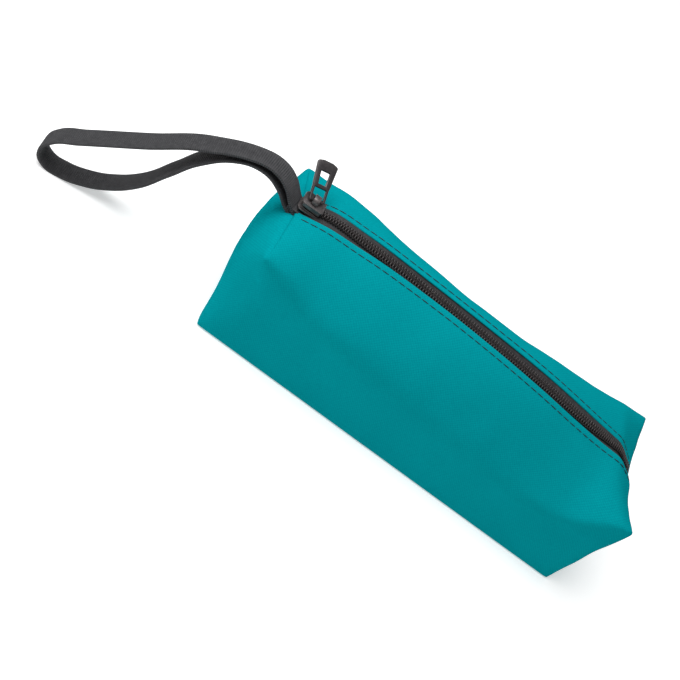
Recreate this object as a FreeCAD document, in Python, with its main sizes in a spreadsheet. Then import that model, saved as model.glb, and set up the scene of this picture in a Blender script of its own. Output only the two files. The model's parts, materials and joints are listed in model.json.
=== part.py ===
import FreeCAD, Part
import math
import os
import re

import Sketcher
from FreeCAD import Placement, Rotation, Vector

# A soft zippered tool bag. X runs along the bag with the strap at -X, the front faces -Y and Z is up.
# The origin is the middle of the base. Lengths are in millimetres and angles in degrees.

SIZES = {
    # Cloth body
    "bag_length": 245,
    "bag_width": 85,
    "crown_height": 76,
    "cloth": 0.8,
    "square_run": 39.5,
    "top_radius": 50,
    "shoulder_radius": 16,
    "end_top_radius": 150,
    "end_shoulder_radius": 5,
    "base_radius": 4,
    # Mouth and its lips
    "hem_gap": 14,
    "lip_end_gap": 40.5,
    "lip_reach": 20,
    "panel_gap": 0.4,
    "mouth_end_margin": 1.5,
    "overrun": 30,
    # Zip
    "tape_width": 14,
    "tape_split": 2,
    "tape_thickness": 0.5,
    "tape_end_gap": 0.4,
    "zip_gap": 0.25,
    "coil_width": 6,
    "coil_height": 2.4,
    "coil_pitch": 1.65,
    "coil_end_gap": 3.5,
    "spine_gap": 2,
    "tooth_width": 0.6,
    "tooth_cross": 0.8,
    # Slider
    "slider_end_gap": 9.5,
    "slider_length": 12,
    "slider_nose_width": 9.8,
    "slider_tail_width": 8.4,
    "slider_plate": 1.1,
    "slider_clearance": 0.35,
    "flange_thickness": 0.65,
    "divider_width": 1.4,
    "divider_length": 4,
    "bridge_length": 3.5,
    "bridge_width": 5.8,
    "bridge_leg": 1,
    "bridge_rise": 2.7,
    "bridge_bar": 1,
    # Pull
    "pull_length": 21.4,
    "pull_thickness": 1.6,
    "pull_root_width": 9,
    "pull_tip_width": 11,
    "pull_tip_bulge": 1.2,
    "pull_root_radius": 2.2,
    "edge_match": 0.01,
    "loop_bar": 1.5,
    "loop_width": 6.2,
    "loop_length": 6.2,
    "crossbar": 2,
    "window_length": 6.8,
    "window_root_width": 4.6,
    "window_tip_width": 5.6,
    "pull_lift_angle": 30,
    "pull_lean_angle": 20,
    # Strap
    "strap_width": 12,
    "strap_thickness": 1.3,
    "strap_ply_gap": 0.4,
    "strap_exit_height": 67.8,
    "strap_reach": 111,
    "strap_lead": 5,
    "strap_return_lead": 7,
    "strap_skew_angle": 6.8,
    "strap_wall_gap": 0.3,
    "strap_slot_clearance": 0.3,
    "tail_length": 9,
    "tack_inset": 3,
    "tack_length": 2,
    "tack_count": 6,
    # Seams
    "seam_depth": 8,
    "seam_seat": 0.3,
    "seam_clear_of_strap": 2,
    "seam_corner_margin": 9,
    # Stitches
    "stitch_length": 3.1,
    "stitch_pitch": 4,
    "stitch_width": 0.55,
    "stitch_height": 0.4,
    "stitch_inset": 2.6,
    "stitch_seat": 0.05,
    "stitch_end_margin": 4,
}

# The strap's line from the seam out and back, as shares of its reach and of its exit height.
UPPER_RUN_SHARES = ((0.1, 1.225), (0.2, 1.21), (0.406, 1.083), (0.794, 0.5), (0.953, 0.315))
LOWER_RUN_SHARES = ((0.754, 0.075), (0.594, 0.254), (0.443, 0.759), (0.319, 1.071), (0.107, 1.131))
TURN_SHARES = ((0.996, 0.07), (0.917, 0))
ARC_RUN_SHARE = 0.45

doc = FreeCAD.newDocument("tool_bag")
sheet = doc.addObject("Spreadsheet::Sheet", "sizes")
for row, (alias, value) in enumerate(SIZES.items(), start=1):
    sheet.set(f"A{row}", alias)
    sheet.set(f"B{row}", str(value))
    sheet.setAlias(f"B{row}", alias)
doc.recompute()

# Heights of the zip above the base, in terms of the sheet's cells.
TAPE_REACH = "(tape_split / 2 + tape_width)"
TAPE_TOP = f"(crown_height - cloth - top_radius + sqrt(top_radius^2 - {TAPE_REACH}^2) - zip_gap)"
PLATE_TOP = "(coil_height + slider_clearance + slider_plate)"
PIVOT = f"({PLATE_TOP} + bridge_rise / 2)"
END_INNER = "(bag_length / 2 - cloth - seam_seat)"
LIP_LENGTH = "(bag_length - 2 * lip_end_gap)"
SLIDER_REST = "(slider_end_gap - bag_length / 2)"


def size(name):
    """The number that the sheet holds under one alias."""
    return float(sheet.get(name))


def from_end(name):
    """How far from the bag's middle a place lies that is measured from its end."""
    return size("bag_length") / 2 - size(name)


def bind(item, **formulas):
    """Bind properties to formulas of sheet aliases. A double underscore stands for a dot."""
    for name, formula in formulas.items():
        text = re.sub(r"[a-z_]{2,}", lambda word: cell_name(word.group()), formula)
        item.setExpression(name.replace("__", "."), text)


def cell_name(word):
    return f"sizes.{word}" if word in SIZES else word


def place(item, x="0", y="0", z="0"):
    bind(item, Placement__Base__x=x, Placement__Base__y=y, Placement__Base__z=z)
    return item


def box(label, length, width, height, x, y, z):
    """A box whose low corner is at x, y, z. All six values are formulas."""
    item = doc.addObject("Part::Box", label)
    bind(item, Length=length, Width=width, Height=height)
    return place(item, x, y, z)


def centred_box(label, length, width, height, x="0", y="0", z="0"):
    """A box centred on x and y that stands on z."""
    return box(label, length, width, height, f"{x} - ({length}) / 2", f"{y} - ({width}) / 2", z)


def tapered_plate(label, length, root_width, tip_width, height, x, z):
    """A plate that runs along X from x and changes width evenly."""
    item = doc.addObject("Part::Wedge", label)
    bind(item, Xmin=f"-({root_width}) / 2", Xmax=f"({root_width}) / 2", Ymin="0", Ymax=length)
    bind(item, X2min=f"-({tip_width}) / 2", X2max=f"({tip_width}) / 2")
    bind(item, Zmin="0", Zmax=height, Z2min="0", Z2max=height)
    item.Placement = Placement(Vector(), Rotation(Vector(0, 0, 1), -90))
    return place(item, x, "0", z)


def cut(label, base, tool):
    item = doc.addObject("Part::Cut", label)
    item.Base = base
    item.Tool = tool
    return item


def common(label, base, tool):
    item = doc.addObject("Part::Common", label)
    item.Base = base
    item.Tool = tool
    return item


def fuse(label, pieces):
    item = doc.addObject("Part::MultiFuse", label)
    item.Shapes = pieces
    item.Refine = True
    return item


def group(label, pieces):
    item = doc.addObject("Part::Compound", label)
    item.Links = pieces
    return item


def feature(label, shape, placement=None):
    item = doc.addObject("Part::Feature", label)
    item.Shape = shape
    item.Placement = placement or Placement()
    return item


def point_on(centre, radius, angle):
    """A point in the YZ plane at an angle from +Y."""
    return Vector(centre.x, centre.y + radius * math.cos(angle), centre.z + radius * math.sin(angle))


def loaf_section(x, top_radius, shoulder_radius, inset):
    """A closed section across the bag: flat base, upright sides, round shoulders and an arched top."""
    half = size("bag_width") / 2 - inset
    low = size("base_radius")
    base = Vector(x, size("bag_width") / 2 - low, low)
    top = Vector(x, 0, size("crown_height") - top_radius)
    shoulder_y = size("bag_width") / 2 - shoulder_radius
    shoulder_rise = math.sqrt((top_radius - shoulder_radius) ** 2 - shoulder_y ** 2)
    shoulder = Vector(x, shoulder_y, top.z + shoulder_rise)
    turn = math.atan2(shoulder_rise, shoulder_y)
    low_inner = low - inset
    side = [
        point_on(base, low_inner, -math.pi / 2),
        point_on(base, low_inner, -math.pi / 4),
        Vector(x, half, low),
        Vector(x, half, shoulder.z),
        point_on(shoulder, shoulder_radius - inset, turn / 2),
        point_on(shoulder, shoulder_radius - inset, turn),
    ]
    other = [Vector(p.x, -p.y, p.z) for p in side]
    crown = point_on(top, top_radius - inset, math.pi / 2)
    edges = [
        Part.LineSegment(other[0], side[0]),
        Part.Arc(side[0], side[1], side[2]),
        Part.LineSegment(side[2], side[3]),
        Part.Arc(side[3], side[4], side[5]),
        Part.Arc(side[5], crown, other[5]),
        Part.Arc(other[5], other[4], other[3]),
        Part.LineSegment(other[3], other[2]),
        Part.Arc(other[2], other[1], other[0]),
    ]
    return Part.Wire([edge.toShape() for edge in edges])


def loaf(inset):
    """The bag's form, or the hollow inside it when inset is the cloth's thickness."""
    end = size("bag_length") / 2 - inset
    middle = from_end("square_run")
    round_top = (size("top_radius"), size("shoulder_radius"), inset)
    square_top = (size("end_top_radius"), size("end_shoulder_radius"), inset)
    stations = ((-end, square_top), (-middle, round_top), (middle, round_top), (end, square_top))
    return Part.makeLoft([loaf_section(x, *form) for x, form in stations], True, True)


def make_cloth():
    """The body and the two lips, cut from one shell of even thickness."""
    outside = feature("loaf_outside", loaf(0))
    inside = feature("loaf_inside", loaf(size("cloth")))
    shell = cut("cloth_shell", outside, inside)
    zip_slot = centred_box(
        "zip_slot", "bag_length - 2 * (cloth + mouth_end_margin)", "hem_gap", "overrun",
        z="crown_height - overrun / 2")
    lip_room = centred_box(
        "lip_room", f"{LIP_LENGTH} + 2 * panel_gap", "2 * (lip_reach + panel_gap)", "overrun",
        z="crown_height - overrun / 2")
    strap_slot = centred_box(
        "strap_slot", "overrun / 2", "strap_width + 2 * strap_slot_clearance",
        "2 * strap_thickness + strap_ply_gap + 2 * strap_slot_clearance", x="-bag_length / 2",
        z="strap_exit_height - strap_thickness - strap_ply_gap / 2 - strap_slot_clearance")
    body = cut("body_cloth", shell, fuse("mouth_cuts", [zip_slot, lip_room, strap_slot]))
    lips = []
    for side, low_y in (("front", "-lip_reach"), ("back", "hem_gap / 2")):
        block = box(
            f"{side}_lip_block", LIP_LENGTH, "lip_reach - hem_gap / 2", "overrun",
            f"-{LIP_LENGTH} / 2", low_y, "crown_height - overrun / 2")
        lips.append(common(f"{side}_lip_cloth", shell, block))
    return [body] + lips


def make_tapes():
    tapes = []
    for side, low_y in (("front", f"-{TAPE_REACH}"), ("back", "tape_split / 2")):
        tapes.append(box(
            f"{side}_tape", "bag_length - 2 * (cloth + tape_end_gap)", "tape_width", "tape_thickness",
            "-bag_length / 2 + cloth + tape_end_gap", low_y, f"{TAPE_TOP} - tape_thickness"))
    return tapes


def tape_top():
    reach = size("tape_split") / 2 + size("tape_width")
    drop = size("top_radius") - math.sqrt(size("top_radius") ** 2 - reach ** 2)
    return size("crown_height") - size("cloth") - drop - size("zip_gap")


def coil_comb(side, tooth_shift):
    """One half of the zip: a straight spine with teeth that cross the middle line."""
    end = from_end("coil_end_gap")
    outer = side * size("coil_width") / 2
    inner = side * size("spine_gap") / 2
    tip = -side * size("tooth_cross")
    first = size("slider_clearance") + tooth_shift - from_end("slider_end_gap")
    count = int((end - first - size("coil_pitch")) / size("coil_pitch"))
    corners = [Vector(-end, outer), Vector(-end, inner)]
    for index in range(count):
        low = first + index * size("coil_pitch")
        high = low + size("tooth_width")
        corners += [Vector(low, inner), Vector(low, tip), Vector(high, tip), Vector(high, inner)]
    corners += [Vector(end, inner), Vector(end, outer)]
    outline = Part.makePolygon(corners + corners[:1])
    return Part.Face(outline).extrude(Vector(0, 0, size("coil_height")))


def make_coils():
    lift = Placement(Vector(0, 0, tape_top()), Rotation())
    front = feature("front_coil", coil_comb(-1, 0), lift)
    back = feature("back_coil", coil_comb(1, size("coil_pitch") / 2), lift)
    return [front, back]


def make_slider():
    """A one-piece slider: two plates joined by the divider, side flanges and a bridge for the pull."""
    nose = "-slider_length / 2"
    low = "-(tape_thickness + slider_clearance + slider_plate)"
    plate = ("slider_length", "slider_nose_width", "slider_tail_width", "slider_plate")
    pieces = [
        tapered_plate("slider_top", *plate, nose, "coil_height + slider_clearance"),
        tapered_plate("slider_bottom", *plate, nose, low),
        box("slider_divider", "divider_length", "divider_width", f"{PLATE_TOP} - {low}",
            nose, "-divider_width / 2", low),
        centred_box("bridge_top", "bridge_length", "bridge_width", "bridge_bar",
                    z=f"{PLATE_TOP} + bridge_rise"),
    ]
    flange_y = "(coil_width / 2 + slider_clearance)"
    leg_y = "(bridge_width / 2 - bridge_leg)"
    for side, flange_low, leg_low in (
        ("front", f"-{flange_y} - flange_thickness", "-bridge_width / 2"),
        ("back", flange_y, leg_y),
    ):
        pieces.append(box(
            f"{side}_flange", "slider_length", "flange_thickness", "coil_height",
            nose, flange_low, "slider_clearance"))
        pieces.append(box(
            f"{side}_bridge_leg", "bridge_length", "bridge_leg", "bridge_rise",
            "-bridge_length / 2", leg_low, PLATE_TOP))
    return place(fuse("slider_body", pieces), SLIDER_REST, "0", TAPE_TOP)


def closed_sketch(body, label, corners):
    """A sketch of straight edges whose corners are bound to formulas."""
    sketch = body.newObject("Sketcher::SketchObject", label)
    plane = [item for item in body.Origin.OriginFeatures if item.Role == "XY_Plane"][0]
    sketch.AttachmentSupport = (plane, [""])
    sketch.MapMode = "FlatFace"
    count = len(corners)
    start = size("pull_length")
    for index in range(count):
        turn = 2 * math.pi * index / count
        onward = 2 * math.pi * (index + 1) / count
        first = Vector(start * math.cos(turn), start * math.sin(turn))
        last = Vector(start * math.cos(onward), start * math.sin(onward))
        sketch.addGeometry(Part.LineSegment(first, last))
    for index in range(count):
        sketch.addConstraint(Sketcher.Constraint("Coincident", index, 2, (index + 1) % count, 1))
    for index, corner in enumerate(corners):
        for kind, formula in zip(("DistanceX", "DistanceY"), corner):
            number = sketch.addConstraint(Sketcher.Constraint(kind, -1, 1, index, 1, start))
            bind(sketch, **{f"Constraints[{number}]": formula})
    return sketch


def make_pull():
    """The flat pull: a loop round the bridge, a crossbar, a window and a wide tip."""
    body = doc.addObject("PartDesign::Body", "pull_tab")
    root = "-loop_bar / 2"
    tip = f"(pull_length {root})"
    outline = closed_sketch(body, "pull_outline", (
        ("-pull_root_width / 2", root),
        ("pull_root_width / 2", root),
        ("pull_root_width / 2", "loop_length + crossbar"),
        ("pull_tip_width / 2", f"{tip} - pull_tip_bulge"),
        ("0", tip),
        ("-pull_tip_width / 2", f"{tip} - pull_tip_bulge"),
        ("-pull_root_width / 2", "loop_length + crossbar"),
    ))
    plate = body.newObject("PartDesign::Pad", "pull_plate")
    plate.Profile = outline
    plate.SideType = "Symmetric"
    bind(plate, Length="pull_thickness")
    openings = {
        "pull_loop": (("loop_width / 2", "loop_bar / 2"), ("loop_width / 2", "loop_length")),
        "pull_window": (
            ("window_root_width / 2", "loop_length + crossbar"),
            ("window_tip_width / 2", "loop_length + crossbar + window_length")),
    }
    for label, ((low_x, low_y), (high_x, high_y)) in openings.items():
        opening = body.newObject("PartDesign::Pocket", label)
        opening.Profile = closed_sketch(body, f"{label}_outline", (
            (f"-{low_x}", low_y), (low_x, low_y), (high_x, high_y), (f"-{high_x}", high_y)))
        opening.SideType = "Symmetric"
        bind(opening, Length="2 * pull_thickness")
    doc.recompute()
    cast = body.Tip
    corners = upright_edges(cast.Shape, -size("loop_bar") / 2)
    rounding = body.newObject("PartDesign::Fillet", "pull_rounding")
    rounding.Base = (cast, corners)
    bind(rounding, Radius="pull_root_radius")
    doc.recompute()
    lean = Rotation(Vector(0, 0, 1), size("pull_lean_angle"))
    lift = Rotation(Vector(1, 0, 0), size("pull_lift_angle"))
    body.Placement = Placement(Vector(), lean.multiply(lift))
    return place(body, SLIDER_REST, "0", f"{TAPE_TOP} + {PIVOT}")


def upright_edges(shape, y):
    """Names of the edges through the plate's thickness that lie on one line of constant y."""
    near = size("edge_match")
    names = []
    for number, edge in enumerate(shape.Edges, start=1):
        ends = [vertex.Point for vertex in edge.Vertexes]
        upright = len(ends) == 2 and (ends[0] - ends[1]).cross(Vector(0, 0, 1)).Length < near
        if upright and abs(ends[0].y - y) < near:
            names.append(f"Edge{number}")
    return names


def left_of(run):
    return Vector(-run.z, 0, run.x).normalize()


def band_edges(points, shift):
    """One face of a flat band: straight runs joined by tangent arcs, all moved sideways by shift."""
    edges = []
    here = points[0] + left_of(points[1] - points[0]) * shift
    for before, corner, after in zip(points, points[1:], points[2:]):
        back = before - corner
        ahead = after - corner
        reach = ARC_RUN_SHARE * min(back.Length, ahead.Length)
        half_turn = (math.pi - back.getAngle(ahead)) / 2
        back.normalize()
        ahead.normalize()
        inward = (back + ahead).normalize()
        radius = reach / math.tan(half_turn)
        centre = corner + inward * (radius / math.cos(half_turn))
        turns_left = left_of(after - before).dot(inward) > 0
        moved = radius - shift if turns_left else radius + shift
        start = centre + (corner + back * reach - centre) * (moved / radius)
        stop = centre + (corner + ahead * reach - centre) * (moved / radius)
        edges.append(Part.LineSegment(here, start))
        edges.append(Part.Arc(start, centre - inward * moved, stop))
        here = stop
    edges.append(Part.LineSegment(here, points[-1] + left_of(points[-1] - points[-2]) * shift))
    return edges


def make_strap():
    """Flat webbing that leaves the seam, droops to the table and comes back to the seam."""
    ply = (size("strap_thickness") + size("strap_ply_gap")) / 2
    reach = size("strap_reach")
    height = size("strap_exit_height")
    edge = -size("strap_width") / 2
    shares = UPPER_RUN_SHARES + TURN_SHARES + LOWER_RUN_SHARES
    lead = size("strap_lead")
    run = [Vector(0, edge, height + ply), Vector(-lead, edge, height + ply)]
    run += [Vector(-along * reach, edge, up * height) for along, up in shares]
    run += [Vector(-size("strap_return_lead"), edge, height - ply), Vector(0, edge, height - ply)]
    half = size("strap_thickness") / 2
    left = band_edges(run, half)
    right = band_edges(run, -half)
    caps = [
        Part.LineSegment(left[0].StartPoint, right[0].StartPoint),
        Part.LineSegment(left[-1].EndPoint, right[-1].EndPoint),
    ]
    wire = Part.Wire(Part.__sortEdges__([edge.toShape() for edge in left + right + caps]))
    band = Part.Face(wire).extrude(Vector(0, size("strap_width"), 0))
    skew = size("strap_skew_angle")
    corner_swing = size("strap_width") / 2 * math.sin(math.radians(skew))
    root = Vector(-size("bag_length") / 2 - size("strap_wall_gap") - corner_swing, 0, 0)
    return feature("strap_loop", band, Placement(root, Rotation(Vector(0, 0, 1), skew)))


def make_tails():
    """The strap's two ends inside the seam, and the bar tack that holds them."""
    tails = []
    for ply, low in (("upper", "strap_ply_gap / 2"), ("lower", "-strap_ply_gap / 2 - strap_thickness")):
        tails.append(box(
            f"{ply}_tail", "tail_length", "strap_width", "strap_thickness",
            "-bag_length / 2", "-strap_width / 2", f"strap_exit_height + {low}"))
    pitch = size("strap_width") / size("tack_count")
    face = size("strap_ply_gap") / 2 + size("strap_thickness") + size("stitch_seat")
    stitches = []
    for index in range(int(size("tack_count"))):
        y = (index + 1 / 2) * pitch - size("strap_width") / 2
        for z in (face, -face - size("stitch_height")):
            stitches.append(stitch(
                Vector(-size("bag_length") / 2 + size("tail_length") - size("tack_inset"), y,
                       size("strap_exit_height") + z), size("tack_length")))
    return [group("strap_tails", tails), feature("strap_bartack", Part.makeCompound(stitches))]


def stitch(centre, length, tilt=0):
    """One visible stitch along X that stands on its centre."""
    block = Part.makeBox(
        length, size("stitch_width"), size("stitch_height"),
        Vector(-length / 2, -size("stitch_width") / 2, 0))
    block.Placement = Placement(centre, Rotation(Vector(1, 0, 0), tilt))
    return block


def make_topstitch():
    """Stitch rows beside the hems: one on each lip, and short rows on the fixed ends."""
    reach = size("hem_gap") / 2 + size("stitch_inset")
    lip_end = from_end("lip_end_gap")
    round_end = from_end("square_run")
    zip_end = from_end("stitch_end_margin")
    pitch = size("stitch_pitch")
    rows = []
    ends = []
    for side, label in ((-1, "front"), (1, "back")):
        on_lip = []
        for index in range(int(zip_end / pitch)):
            x = (index + 1 / 2) * pitch
            along = max(0, (x - round_end) / size("square_run"))
            radius = size("top_radius") / (1 - along * (1 - size("top_radius") / size("end_top_radius")))
            lean = math.asin(reach / radius)
            rise = size("crown_height") - radius * (1 - math.cos(lean)) + size("stitch_seat")
            if x + size("stitch_length") / 2 < lip_end:
                target = on_lip
            elif x - size("stitch_length") / 2 > lip_end + size("panel_gap"):
                target = ends
            else:
                continue
            for end in (-1, 1):
                target.append(stitch(
                    Vector(end * x, side * reach, rise), size("stitch_length"), -side * math.degrees(lean)))
        rows.append(feature(f"{label}_topstitch", Part.makeCompound(on_lip)))
    rows.append(feature("end_topstitch", Part.makeCompound(ends)))
    return rows


def make_seams():
    """The turned-in plies of cloth along the seams of both ends."""
    strap_clear = "(strap_width / 2 + seam_clear_of_strap)"
    top_width = f"(bag_width / 2 - seam_corner_margin - {strap_clear})"
    top_low = "(strap_exit_height - seam_depth)"
    seams = []
    for side, wall in (("left", f"-{END_INNER}"), ("right", END_INNER)):
        deep = wall if side == "left" else f"{wall} - seam_depth"
        thin = wall if side == "left" else f"{wall} - 2 * cloth"
        tops = []
        for half, low_y in (("front", f"-{strap_clear} - {top_width}"), ("back", strap_clear)):
            tops.append(box(
                f"{side}_{half}_top_ply", "2 * cloth", top_width, "seam_depth", thin, low_y, top_low))
        seams.append(group(f"top_{side}_box_seam", tops))
        seams.append(box(
            f"{side}_end_seam", "seam_depth", "2 * cloth", f"{top_low} - 2 * seam_depth",
            deep, "-cloth", "seam_depth"))
        seams.append(box(
            f"base_{side}_box_seam", "seam_depth", "bag_width - 2 * seam_corner_margin", "2 * cloth",
            deep, "-bag_width / 2 + seam_corner_margin", "cloth + seam_seat"))
    return seams


def make_seam_thread():
    """The lockstitch along the middle of each turned-in seam, as separate stitches."""
    wall = size("bag_length") / 2 - size("cloth") - size("seam_seat")
    half_depth = size("seam_depth") / 2
    ply = 2 * size("cloth") + size("stitch_seat")
    pitch = size("stitch_pitch")
    side_y = size("bag_width") / 2 - size("seam_corner_margin")
    clear_y = size("strap_width") / 2 + size("seam_clear_of_strap")
    top_z = size("strap_exit_height") - half_depth
    end_high = size("strap_exit_height") - 2 * size("seam_depth")
    stitches = []
    for end in (-1, 1):
        inward = Rotation(Vector(0, 1, 0), -end * 90)
        spin = inward.multiply(Rotation(Vector(0, 0, 1), 90))
        for index in range(int((side_y - clear_y) / pitch)):
            y = clear_y + (index + 1 / 2) * pitch
            for half in (-1, 1):
                stitches.append(turned_stitch(Vector(end * (wall - ply), half * y, top_z), spin))
        for index in range(int(2 * side_y / pitch)):
            y = (index + 1 / 2) * pitch - side_y
            flat = Vector(end * (wall - half_depth), y, size("cloth") + size("seam_seat") + ply)
            stitches.append(turned_stitch(flat, Rotation(Vector(0, 0, 1), 90)))
        upright = Rotation(Vector(1, 0, 0), -90).multiply(Rotation(Vector(0, 0, 1), 90))
        for index in range(int((end_high - 2 * size("seam_depth")) / pitch)):
            z = size("seam_depth") + (index + 1 / 2) * pitch
            beside = Vector(end * (wall - half_depth), ply / 2, z)
            stitches.append(turned_stitch(beside, upright))
    return feature("seam_thread", Part.makeCompound(stitches))


def turned_stitch(centre, rotation):
    block = stitch(Vector(), size("stitch_length"))
    block.Placement = Placement(centre, rotation)
    return block


pieces = make_cloth()
pieces += make_tapes()
pieces += make_coils()
pieces += make_topstitch()
pieces += make_seams()
pieces += make_tails()
pieces.append(make_seam_thread())
pieces.append(make_slider())
pieces.append(make_pull())
pieces.append(make_strap())
doc.recompute()

for item in doc.Objects:
    if "Invalid" in item.State or "Error" in item.State:
        raise RuntimeError(f"{item.Label} did not build")
for piece in pieces:
    if piece.Shape.isNull() or not piece.Shape.isValid():
        raise RuntimeError(f"{piece.Label} has no valid shape")

os.makedirs("parts", exist_ok=True)
for piece in pieces:
    piece.Shape.exportStep(f"parts/{piece.Label}.step")
    print(piece.Label, len(piece.Shape.Solids), round(piece.Shape.Volume, 1))
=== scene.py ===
import functools
import json
import math

import bpy
import numpy as np
from mathutils import Matrix, Vector, noise

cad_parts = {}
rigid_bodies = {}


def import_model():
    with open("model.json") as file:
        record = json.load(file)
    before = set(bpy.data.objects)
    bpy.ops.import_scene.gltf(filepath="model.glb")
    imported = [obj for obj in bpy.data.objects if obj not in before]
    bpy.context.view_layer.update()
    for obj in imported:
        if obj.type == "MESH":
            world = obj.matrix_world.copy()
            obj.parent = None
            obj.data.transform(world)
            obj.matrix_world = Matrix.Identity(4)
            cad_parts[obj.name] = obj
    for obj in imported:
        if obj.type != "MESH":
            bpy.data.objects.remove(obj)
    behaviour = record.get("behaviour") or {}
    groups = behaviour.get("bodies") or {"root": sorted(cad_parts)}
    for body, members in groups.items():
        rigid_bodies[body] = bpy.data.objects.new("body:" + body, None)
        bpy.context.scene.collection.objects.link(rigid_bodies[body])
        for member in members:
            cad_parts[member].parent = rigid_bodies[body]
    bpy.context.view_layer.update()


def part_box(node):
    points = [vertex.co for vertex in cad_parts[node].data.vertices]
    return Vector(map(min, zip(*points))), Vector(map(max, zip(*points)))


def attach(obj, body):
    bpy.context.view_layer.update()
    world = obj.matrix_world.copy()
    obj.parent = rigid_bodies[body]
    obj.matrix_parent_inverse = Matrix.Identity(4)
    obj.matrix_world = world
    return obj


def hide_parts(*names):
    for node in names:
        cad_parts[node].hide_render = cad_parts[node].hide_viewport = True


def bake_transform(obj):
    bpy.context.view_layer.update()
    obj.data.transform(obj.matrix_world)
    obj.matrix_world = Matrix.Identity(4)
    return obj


# A soft zippered tool bag. X runs along the bag with the strap at -X, the front faces -Y and Z is up.
# Places are in metres, and the stations and dents of the cloth are in millimetres.
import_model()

MM = 0.001

# The cloth body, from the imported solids
HALF_LENGTH, HALF_WIDTH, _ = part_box("body_cloth")[1]
HEM, HINGE = (corner.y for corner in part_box("back_lip_cloth"))
TAPE_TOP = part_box("back_tape")[1].z
CORNER_HEIGHT = 70 * MM
GIRTH = CORNER_HEIGHT + HALF_WIDTH
CLOTH = 0.7 * MM
CLOTH_GRID = 3.6 * MM
SECTION_STEPS = 181
SOFT_SPAN = 2.5
NEAR = 0.01 * MM

# The mouth opens between these two places along the zip, and its lips are cut in two at the split
MOUTH_START, MOUTH_END = -118 * MM, 93 * MM
MOUTH_SPLIT = -14 * MM

# Stations along the bag, as (place, value) in millimetres
CROWN = ((-122.5, 68.2), (-113, 72.4), (-80, 77.4), (-40, 79.4), (0, 79.6), (40, 78.2), (65, 76), (80, 74.6),
         (94, 73.6), (104, 72.6), (112, 68.6), (122.5, 62))
EAR_RISE = ((-122.5, 0), (99, 0), (122.5, 5))
HALF_GAP = ((-122.5, 5), (-114, 6.8), (-100, 6.6), (-85, 5.8), (-60, 4.6), (-30, 4), (10, 4.1), (40, 4.6),
            (70, 5.2), (95, 5.4), (106, 5), (113, 4.2), (119, 2.4), (122.5, 0.8))
# Where the upright side turns in over a ridge, and how round the slope above it is, from 1 for straight
FRONT_RIDGE = ((-122.5, 66.5), (-108, 62.5), (-90, 56), (-60, 52.5), (0, 50), (45, 46.5), (75, 46),
               (90, 48.5), (102, 57), (112, 64), (122.5, 65.5))
BACK_RIDGE = ((-122.5, 58.5), (-110, 59), (-90, 57), (-60, 53), (0, 52), (50, 54), (80, 59), (100, 63.5),
              (112, 65), (122.5, 65.5))
FRONT_ROUND = ((-122.5, 1.2), (-90, 1.14), (-60, 1.16), (0, 1.2), (45, 1.14), (75, 1.08), (95, 1.15),
               (122.5, 1.6))
BACK_ROUND = ((-122.5, 1.1), (-110, 1.15), (-100, 1.6), (-85, 1.7), (-60, 1.6), (-30, 1.55), (10, 1.65),
              (30, 1.85), (50, 2.2), (80, 2.5), (100, 2.5), (122.5, 1.7))
ZIP_FLAT = 1.5
# How softly the cloth turns over each ridge, and how far the zip's back edge stands over its middle
FRONT_SOFT = ((-122.5, 2.4), (-108, 3.6), (-90, 4.2), (-60, 5), (0, 7), (45, 6), (75, 3.5), (90, 1.6),
              (122.5, 1))
BACK_SOFT = ((-122.5, 1), (-100, 3), (-60, 4), (60, 4), (100, 2), (122.5, 1))
ZIP_TILT = ((-122.5, 0), (-105, 0.1), (-75, 0.7), (0, 1), (70, 0.7), (100, 0.2), (122.5, 0))
TILT_REACH = 20
# How deep the tapes lie under the hems
ZIP_DEPTH = ((-122.5, 1.2), (-100, 1.4), (-75, 2.4), (60, 2.4), (80, 1.9), (97, 1.2), (122.5, 1.2))

# The camera, from the photograph's vanishing lines
VIEW_AZIMUTH, VIEW_ELEVATION, VIEW_ROLL = (math.radians(a) for a in (-17.69, 43.66, 49.38))
VIEW_DISTANCE, VIEW_RIGHT, VIEW_UP, AIM_HEIGHT = 0.5118, -0.0532, 0.0190, 0.035


@functools.lru_cache(maxsize=None)
def along(stations, place):
    """The value at a place, on a smooth line through stations given in millimetres."""
    places = np.array([station[0] for station in stations], float) * MM
    values = np.array([station[1] for station in stations], float)
    slopes = np.gradient(values, places)
    here = int(np.clip(np.searchsorted(places, place) - 1, 0, len(places) - 2))
    step = places[here + 1] - places[here]
    t = float(np.clip((place - places[here]) / step, 0, 1))
    rise = values[here] * (1 + 2 * t) * (1 - t) ** 2 + values[here + 1] * t * t * (3 - 2 * t)
    return rise + step * t * (1 - t) * (slopes[here] * (1 - t) - slopes[here + 1] * t)


def smooth(low, high, value):
    """A smooth step from 0 at low to 1 at high."""
    t = min(1, max(0, (value - low) / (high - low)))
    return t * t * (3 - 2 * t)


# Hand tools

def leave_edit():
    if bpy.context.object and bpy.context.object.mode != "OBJECT":
        bpy.ops.object.mode_set(mode="OBJECT")


def deselect_all():
    leave_edit()
    bpy.ops.object.select_all(action="DESELECT")


def only(piece):
    """Select one piece alone and make it the active one."""
    deselect_all()
    piece.select_set(True)
    bpy.context.view_layer.objects.active = piece


def added(name):
    """Name the primitive just added and put its place into its mesh."""
    piece = bpy.context.object
    piece.name = piece.data.name = name
    bpy.ops.object.transform_apply(location=True, rotation=True, scale=True)
    return piece


def add_block(name, low, high):
    """A box between two corners, as the start of a piece."""
    deselect_all()
    low, high = Vector(low), Vector(high)
    bpy.ops.mesh.primitive_cube_add(size=1, location=(low + high) / 2, scale=high - low)
    return added(name)


def add_object(name, data):
    piece = bpy.data.objects.new(name, data)
    bpy.context.scene.collection.objects.link(piece)
    return piece


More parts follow.
